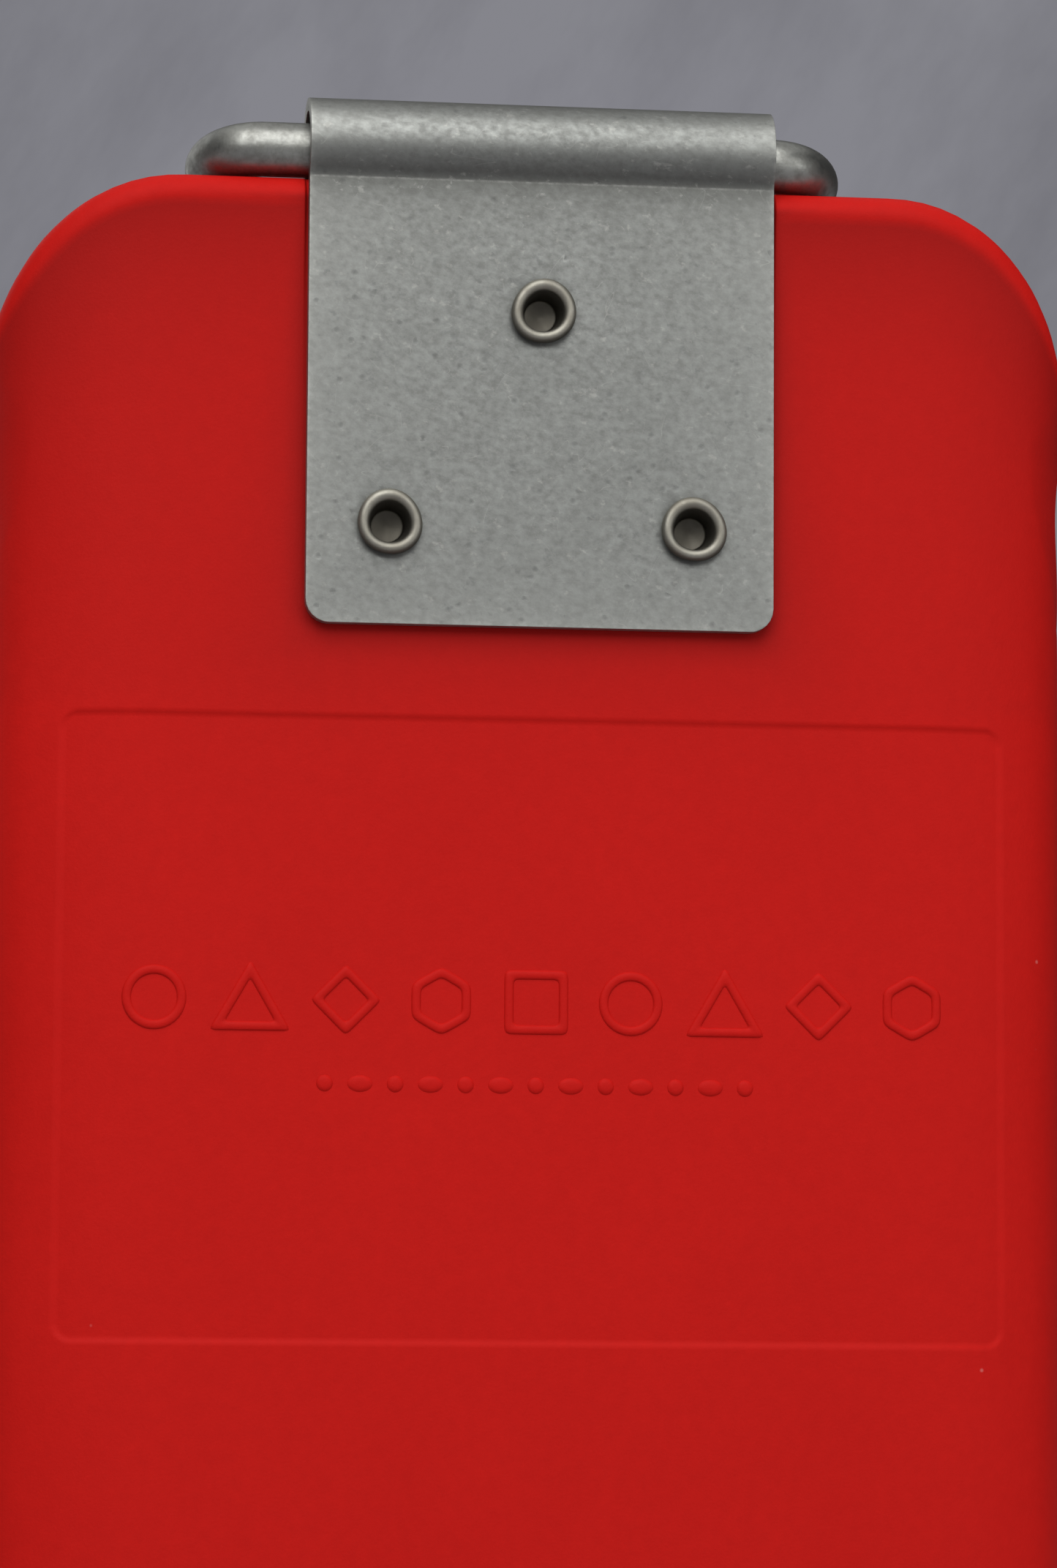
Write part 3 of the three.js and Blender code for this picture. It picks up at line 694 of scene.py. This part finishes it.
def zinc_plate():
    """Dull zinc with fine crystals, small dents and hairline scratches, bright where edges and the crease are
    worn, with painted shade and dark reflection just below the crease, over the barrel's lower half and along
    its top."""
    made, tree, shader, here = new_material("zinc_plate", Metallic=1.0)
    cloud = place(tree, mottle, {"Place": here, "Patches per metre": 80.0, "Contrast": 0.25})[0]
    flecks = stretched(tree, here, (15, 0, 0), (1, 0.7, 1))
    fine = place(tree, mottle, {"Place": flecks, "Patches per metre": 850.0, "Contrast": 0.16})[0]
    crystals = place(tree, mottle, {"Place": flecks, "Patches per metre": 620.0, "Contrast": 0.2})[0]
    dents = place(tree, specks, {"Place": here, "Cells per metre": 560.0, "Share": 0.05, "Size": 0.4})[0]
    pits = place(tree, grain, {"Place": here, "Grains per metre": 2600.0})[0]
    turned = [stretched(tree, here, (a, 0, 0), (1, 0.2, 1)) for a in (8, 55, 120)]
    hairs = {"Lines per metre": 240.0, "Width": 0.003}
    lines = [place(tree, scratches, {"Place": t, **hairs})[0] for t in turned]
    marks = math_node(tree, "MAXIMUM", math_node(tree, "MAXIMUM", lines[0], lines[1]), lines[2])
    names = ("edge", "border", "crease", "painted_zinc_shade_and_reflection")
    edge, border, crease, painted_zinc_shade_and_reflection = (add_node(tree, "Attribute", attribute_name=n).outputs["Fac"] for n in names)
    patchy = spread(tree, fine, 0.2, 0.9, 0.3, 1.0)
    worn = math_node(tree, "MULTIPLY", math_node(tree, "MAXIMUM", edge, crease), patchy)
    colour = mix_colour(tree, cloud, (0.213, 0.22, 0.207, 1), (0.25, 0.258, 0.244, 1))
    colour = mix_colour(tree, spread(tree, fine, 0, 1, 0.9, 0), colour, (0.168, 0.17, 0.16, 1))
    colour = mix_colour(tree, spread(tree, border, 0, 1, 0, 0.5), colour, (0.27, 0.275, 0.257, 1))
    # painted shade and reflection below the crease and on the barrel's lower half and top band
    colour = mix_colour(tree, spread(tree, painted_zinc_shade_and_reflection, 0, 1, 0, 0.65), colour, (0.10, 0.10, 0.092, 1))
    colour = mix_colour(tree, spread(tree, dents, 0, 1, 0, 0.5), colour, (0.10, 0.10, 0.096, 1))
    colour = mix_colour(tree, spread(tree, crystals, 0.25, 0.0, 0, 0.45), colour, (0.13, 0.132, 0.128, 1))
    colour = mix_colour(tree, spread(tree, crystals, 0.75, 1.0, 0, 0.5), colour, (0.34, 0.34, 0.315, 1))
    colour = mix_colour(tree, spread(tree, marks, 0, 1, 0, 0.25), colour, (0.45, 0.45, 0.42, 1))
    colour = mix_colour(tree, spread(tree, worn, 0, 1, 0, 0.45), colour, (0.42, 0.42, 0.39, 1))
    tree.links.new(colour, shader.inputs["Base Color"])
    tree.links.new(spread(tree, fine, 0, 1, 0.56, 0.46), shader.inputs["Roughness"])
    bump = add_node(tree, "Bump", {"Height": pits, "Strength": 0.25, "Distance": 0.00005})
    hollow = math_node(tree, "MULTIPLY", dents, -1.0)
    below = {"Height": hollow, "Strength": 0.4, "Distance": 0.0001, "Normal": bump.outputs[0]}
    dent = add_node(tree, "Bump", below)
    tree.links.new(dent.outputs[0], shader.inputs["Normal"])
    return made


plate = zinc_plate()
for side_name, side in (("right", 1), ("left", -1)):
    clip = clip_sheet(f"{side_name}_clip", plate, side)
    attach(clip, "seat")
    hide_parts(f"{side_name}_hanger_clip")

# ----------------------------------------------------------------------------------------------------------
# Dee rings
# Round galvanised bar, 10 mm, bent to a triangle with its base in the clip's barrel and its ends welded. At
# rest it lies on the rim, with the apex over the hollow of the bucket.
# ----------------------------------------------------------------------------------------------------------

bar_radius = 5.0
bar_to_rim = 0.4  # gap between the bar and the rim's crest
rest_gap = 0.2  # gap to the rim where the ring lies on it
dee_float = 4.1  # straight bar past each end of the clip
dee_base_half = clip_high[1] + dee_float
dee_base_angle = math.radians(62)
dee_base_bend = 9.0
dee_top_bend = 10.0
dee_shift = -3.6
pivot = np.array(next(j for j in frame["joints"] if j["name"] == "right_dee_swing")["pos_m"]) / mm
dee_rest = math.acos((bar_radius + wall / 2 + rest_gap) / (bar_radius + wall / 2 + bar_to_rim))


def dee_bar(name, material, side):
    """A circle carried round a closed line of arcs and straights: the base lies on the hinge axis, and the
    two sides run in to the bend at the apex. The line's plane dips by dee_rest below the level."""
    turn = math.pi - dee_base_angle
    corner_y = dee_base_half + dee_base_bend * math.tan(turn / 2)
    apex = corner_y * math.tan(dee_base_angle) - dee_top_bend / math.cos(dee_base_angle)
    bends = [
        (dee_base_bend, dee_base_half, dee_base_bend, math.pi, math.pi - turn, 20),
        (apex, 0.0, dee_top_bend, dee_base_angle, -dee_base_angle, 24),
        (dee_base_bend, -dee_base_half, dee_base_bend, turn - math.pi, -math.pi, 20),
    ]
    angle = np.concatenate([np.linspace(b[3], b[4], b[5] + 1) for b in bends])
    centre = np.concatenate([np.broadcast_to([b[0], b[1]], (b[5] + 1, 2)) for b in bends])
    radius = np.concatenate([np.full(b[5] + 1, b[2]) for b in bends])
    out = np.stack([np.cos(angle), np.sin(angle)], -1)
    line = centre + radius[:, None] * out
    straight = np.linspace(0, 1, 13)[1:-1, None]
    whole_line, whole_out = [], []
    cuts = np.cumsum([b[5] + 1 for b in bends])
    for start, end in zip([0, *cuts[:-1]], cuts):
        ahead = end % len(line)
        whole_line += [line[start:end], line[end - 1] * (1 - straight) + line[ahead] * straight]
        whole_out += [out[start:end], np.broadcast_to(out[end - 1], (len(straight), 2))]
    line, out = np.concatenate(whole_line), np.concatenate(whole_out)
    a = np.linspace(0, 2 * math.pi, 40, endpoint=False)[None, :]
    reach = -(line[:, :1] + bar_radius * np.cos(a) * out[:, :1])
    along = line[:, 1:] + bar_radius * np.cos(a) * out[:, 1:] + dee_shift
    height = np.broadcast_to(bar_radius * np.sin(a), reach.shape)
    x = reach * math.cos(dee_rest) - height * math.sin(dee_rest)
    z = reach * math.sin(dee_rest) + height * math.cos(dee_rest)
    points = np.stack([side * (pivot[0] + x), along, pivot[2] + z], -1)
    faces = grid_faces(*reach.shape, True, True).reshape(-1, 4)
    if side > 0:  # so that the faces of both sides turn outwards
        faces = faces[:, ::-1]
    return new_piece(name, points, faces, material)


def zinc_bar():
    """Zinc on a round bar, blotched from light to dark and finely pitted."""
    made, tree, shader, here = new_material("zinc_bar", Metallic=1.0)
    cloud = place(tree, mottle, {"Place": here, "Patches per metre": 90.0, "Contrast": 0.2})[0]
    fine = place(tree, mottle, {"Place": here, "Patches per metre": 520.0, "Contrast": 0.2})[0]
    pits = place(tree, grain, {"Place": here, "Grains per metre": 1500.0})[0]
    colour = mix_colour(tree, cloud, (0.20, 0.203, 0.19, 1), (0.34, 0.343, 0.316, 1))
    colour = mix_colour(tree, spread(tree, fine, 0.3, 1, 0, 0.6), colour, (0.13, 0.128, 0.115, 1))
    tree.links.new(colour, shader.inputs["Base Color"])
    tree.links.new(spread(tree, fine, 0, 1, 0.34, 0.52), shader.inputs["Roughness"])
    bump = add_node(tree, "Bump", {"Height": pits, "Strength": 0.4, "Distance": 0.00008})
    tree.links.new(bump.outputs[0], shader.inputs["Normal"])
    return made


bar_steel = zinc_bar()
for side_name, side in (("right", 1), ("left", -1)):
    dee = dee_bar(f"{side_name}_dee", bar_steel, side)
    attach(dee, f"{side_name}_dee")
    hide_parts(f"{side_name}_dee_ring")

# ----------------------------------------------------------------------------------------------------------
# Rivets
# Semi-tubular steel rivets, set from inside: a low domed head inside the bucket, a shank through clip, wall
# and strap, and a hollow end rolled outwards over the clip, with its blind bore left open.
# ----------------------------------------------------------------------------------------------------------

rivet_seat = wall / 2 + seat_gap + sheet + seat_gap
shank_radius = 4.0
head_radius = 7.0
head_height = 3.0
roll_outer = 5.95
mouth_radius = 3.75
bore_radius = 3.1
bore_depth = 6.5


def arc(cx, cy, radius, start, end, count):
    """Points of an arc, angles in degrees."""
    a = np.radians(np.linspace(start, end, count))
    return np.stack([cx + radius * np.cos(a), cy + radius * np.sin(a)], -1)


def rivet(name, material, side, place_at):
    """A profile of radius and height turned about the rivet's axis: an elliptical dome, the shank, the rolled
    end as an arc of more than half a circle, and the bore, which narrows down to its dimpled floor."""
    roll = (roll_outer - mouth_radius) / 2
    middle = (roll_outer + mouth_radius) / 2
    top = rivet_seat + 2 * roll
    floor = top - bore_depth
    a = np.radians(np.linspace(-90, 0, 12))[:, None]
    dome = np.concatenate([head_radius * np.cos(a), -rivet_seat - 0.5 + (head_height - 0.5) * np.sin(a)], -1)
    profile = np.concatenate(
        [
            dome,
            arc(head_radius - 0.35, -rivet_seat - 0.35, 0.35, 0, 90, 4),
            [[shank_radius + 0.2, -rivet_seat]],
            [[shank_radius, -rivet_seat + 0.2], [shank_radius, rivet_seat - 0.1]],
            arc(middle, rivet_seat + roll, roll, -80, 200, 22),
            [[mouth_radius - 0.05, rivet_seat + 0.4], [bore_radius + 0.25, rivet_seat - 1.0]],
            arc(bore_radius - 0.5, floor + 0.5, 0.5, 0, -80, 5),
            [[0.6, floor - 0.35], [0.0, floor - 0.45]],
        ]
    )
    turn = np.linspace(0, 2 * math.pi, 72, endpoint=False)[None, :]
    radius, height = profile[:, :1], profile[:, 1:]
    wobble = 0.02 * np.sin(turn + 0.6) + 0.018 * np.sin(2 * turn + place_at[1]) - 0.015 * np.sin(3 * turn)
    uneven = 1 + wobble * smooth((height - rivet_seat + 0.5) / 1.2) * (radius > bore_radius - 0.1)
    points = np.stack(
        [
            side * (wall_middle + np.broadcast_to(height, (len(profile), turn.size))),
            place_at[1] + radius * uneven * np.cos(turn),
            place_at[2] + radius * uneven * np.sin(turn),
        ],
        -1,
    )
    faces = grid_faces(*points.shape[:2], False, True).reshape(-1, 4)
    if side < 0:  # so that the faces of both sides turn outwards
        faces = faces[:, ::-1]
    # painted shade: the colour is darkened in the bore and under the lower side of the rolled end, where
    # shade falls
    bore = smooth((mouth_radius + 0.3 - radius) / 0.5)
    under_roll = smooth((radius - middle - 0.3) / 0.5) * smooth(0.1 - 1.2 * np.sin(turn))
    painted_rivet_shade = np.maximum(bore, 0.85 * under_roll) * (height > 0)
    made = new_piece(name, points, faces, material, {"painted_rivet_shade": painted_rivet_shade})
    return weld(made)


def rivet_steel():
    """Warm grey plating, with painted shade in the bore and under the lower side of the rolled end."""
    made, tree, shader, here = new_material("rivet_steel", Metallic=1.0)
    cloud = place(tree, mottle, {"Place": here, "Patches per metre": 260.0, "Contrast": 0.25})[0]
    pits = place(tree, grain, {"Place": here, "Grains per metre": 2200.0})[0]
    painted_rivet_shade = add_node(tree, "Attribute", attribute_name="painted_rivet_shade").outputs["Fac"]
    colour = mix_colour(tree, cloud, (0.30, 0.29, 0.25, 1), (0.215, 0.20, 0.165, 1))
    # painted shade in the bore and under the lower side of the rolled end
    colour = mix_colour(tree, spread(tree, painted_rivet_shade, 0, 1, 0, 0.85), colour, (0.075, 0.068, 0.055, 1))
    tree.links.new(colour, shader.inputs["Base Color"])
    tree.links.new(spread(tree, cloud, 0, 1, 0.46, 0.6), shader.inputs["Roughness"])
    bump = add_node(tree, "Bump", {"Height": pits, "Strength": 0.25, "Distance": 0.00005})
    tree.links.new(bump.outputs[0], shader.inputs["Normal"])
    return made


rivet_finish = rivet_steel()
for side_name, side in (("right", 1), ("left", -1)):
    for rivet_name in rivet_names:
        made = rivet(f"{side_name}_{rivet_name}_rivet", rivet_finish, side, rivet_places[rivet_name])
        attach(made, "seat")
        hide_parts(f"{side_name}_rivet_{rivet_name}")

# ----------------------------------------------------------------------------------------------------------
# Steel strap
# Flat spring steel, moulded inside the side walls and the seat from clip to clip, with the rivets through it.
# It is out of sight, so it keeps its plain shape and only its finish is given here.
# ----------------------------------------------------------------------------------------------------------


def spring_steel():
    """Dark bare steel with a rolled grain along Z."""
    made, tree, shader, here = new_material("spring_steel", Metallic=1.0)
    cloud = place(tree, mottle, {"Place": here, "Patches per metre": 80.0, "Contrast": 0.25})[0]
    rolled = place(tree, grain, {"Place": stretched(tree, here, (0, 0, 0), (1, 1, 0.05))})[0]
    colour = mix_colour(tree, cloud, (0.10, 0.11, 0.12, 1), (0.15, 0.16, 0.17, 1))
    tree.links.new(colour, shader.inputs["Base Color"])
    tree.links.new(spread(tree, rolled, 0, 1, 0.3, 0.5), shader.inputs["Roughness"])
    return made


strap = frame["nodes"]["steel_insert"]
strap.data.materials.clear()
strap.data.materials.append(spring_steel())

# ----------------------------------------------------------------------------------------------------------
# Floor, light and camera
# A pale floor and a lilac-grey backdrop. One large soft light stands above and in front of the +X wall, with
# weak ones to its right and behind the bucket, and an even glow comes from overhead. The camera looks up at
# that wall a little, from its front side.
# ----------------------------------------------------------------------------------------------------------


def pale_floor():
    """Matt pale grey with faint wide patches."""
    made, tree, shader, here = new_material("pale_floor", Roughness=0.8)
    cloud = place(tree, mottle, {"Place": here, "Patches per metre": 3.0, "Contrast": 0.3})[0]
    colour = mix_colour(tree, cloud, (0.36, 0.36, 0.38, 1), (0.39, 0.39, 0.41, 1))
    tree.links.new(colour, shader.inputs["Base Color"])
    return made


reach, floor_z = 2e4, -0.5
floor_corners = np.array([[x * reach, y * reach, floor_z] for x, y in ((-1, -1), (1, -1), (1, 1), (-1, 1))])
ground = new_piece("floor", floor_corners, np.array([[0, 1, 2, 3]]), pale_floor())

world = bpy.data.worlds.new("backdrop")
bpy.context.scene.world = world
world.use_nodes = True
sky = world.node_tree
seen = sky.nodes["Background"]
facing = sky.nodes.new("ShaderNodeTexCoord").outputs["Generated"]
hanging = stretched(sky, facing, (30, 0, 0), (1, 1, 0.4))
# painted shade: the backdrop is lighter and darker in soft stretched patches, standing in for folds of a
# hanging sheet
painted_fold_shade = place(sky, mottle, {"Place": hanging, "Patches per metre": 17.0, "Contrast": 0.13})[0]
cloth = mix_colour(sky, painted_fold_shade, (0.172, 0.171, 0.193, 1), (0.234, 0.234, 0.261, 1))
sky.links.new(cloth, seen.inputs["Color"])
room = sky.nodes.new("ShaderNodeBackground")
room.inputs["Color"].default_value = (0.05, 0.05, 0.053, 1)
either = sky.nodes.new("ShaderNodeMixShader")
sky.links.new(sky.nodes.new("ShaderNodeLightPath").outputs["Is Camera Ray"], either.inputs[0])
sky.links.new(room.outputs[0], either.inputs[1])
sky.links.new(seen.outputs[0], either.inputs[2])
sky.links.new(either.outputs[0], sky.nodes["World Output"].inputs[0])


def new_light(name, kind, strength):
    """A light at the origin that points down."""
    data = bpy.data.lights.new(name, kind)
    data.energy = strength
    made = bpy.data.objects.new(name, data)
    bpy.context.scene.collection.objects.link(made)
    return made


def soft_light(name, position, aim, size, power):
    """A square area light at position, facing aim, both in millimetres."""
    made = new_light(name, "AREA", power)
    made.data.size = size
    made.location = Vector(position) * mm
    made.rotation_euler = (Vector(aim) - Vector(position)).to_track_quat("-Z", "Y").to_euler()
    made.visible_camera = False


wall_centre = (half_width, 0, 190)
soft_light("key", (1900, -380, 1850), wall_centre, 2.4, 70)
soft_light("fill", (1500, 1150, 650), wall_centre, 1.0, 7)
soft_light("back", (-1300, -1300, 1000), (0, 0, 150), 1.8, 8)
new_light("overhead", "SUN", 0.8).data.angle = math.radians(80)

yaw, pitch, roll = math.radians(7.42), math.radians(6.28), math.radians(0.35)
distance = 1000.0
target = Vector((half_width, -1.69, 189.5))
forward = Vector((-math.cos(pitch) * math.cos(yaw), math.cos(pitch) * math.sin(yaw), math.sin(pitch)))
right = forward.cross(Vector((0, 0, 1))).normalized()
right = Matrix.Rotation(-roll, 3, forward) @ right
up = right.cross(forward)
camera = bpy.data.objects.new("camera", bpy.data.cameras.new("camera"))
bpy.context.scene.collection.objects.link(camera)
camera.matrix_world = Matrix.Translation((target - distance * forward) * mm) @ Matrix(
    (right, up, -forward)
).transposed().to_4x4()
camera.data.lens = 127.07
camera.data.clip_start = 0.01
bpy.context.scene.camera = camera
bpy.context.scene.view_settings.view_transform = "Standard"
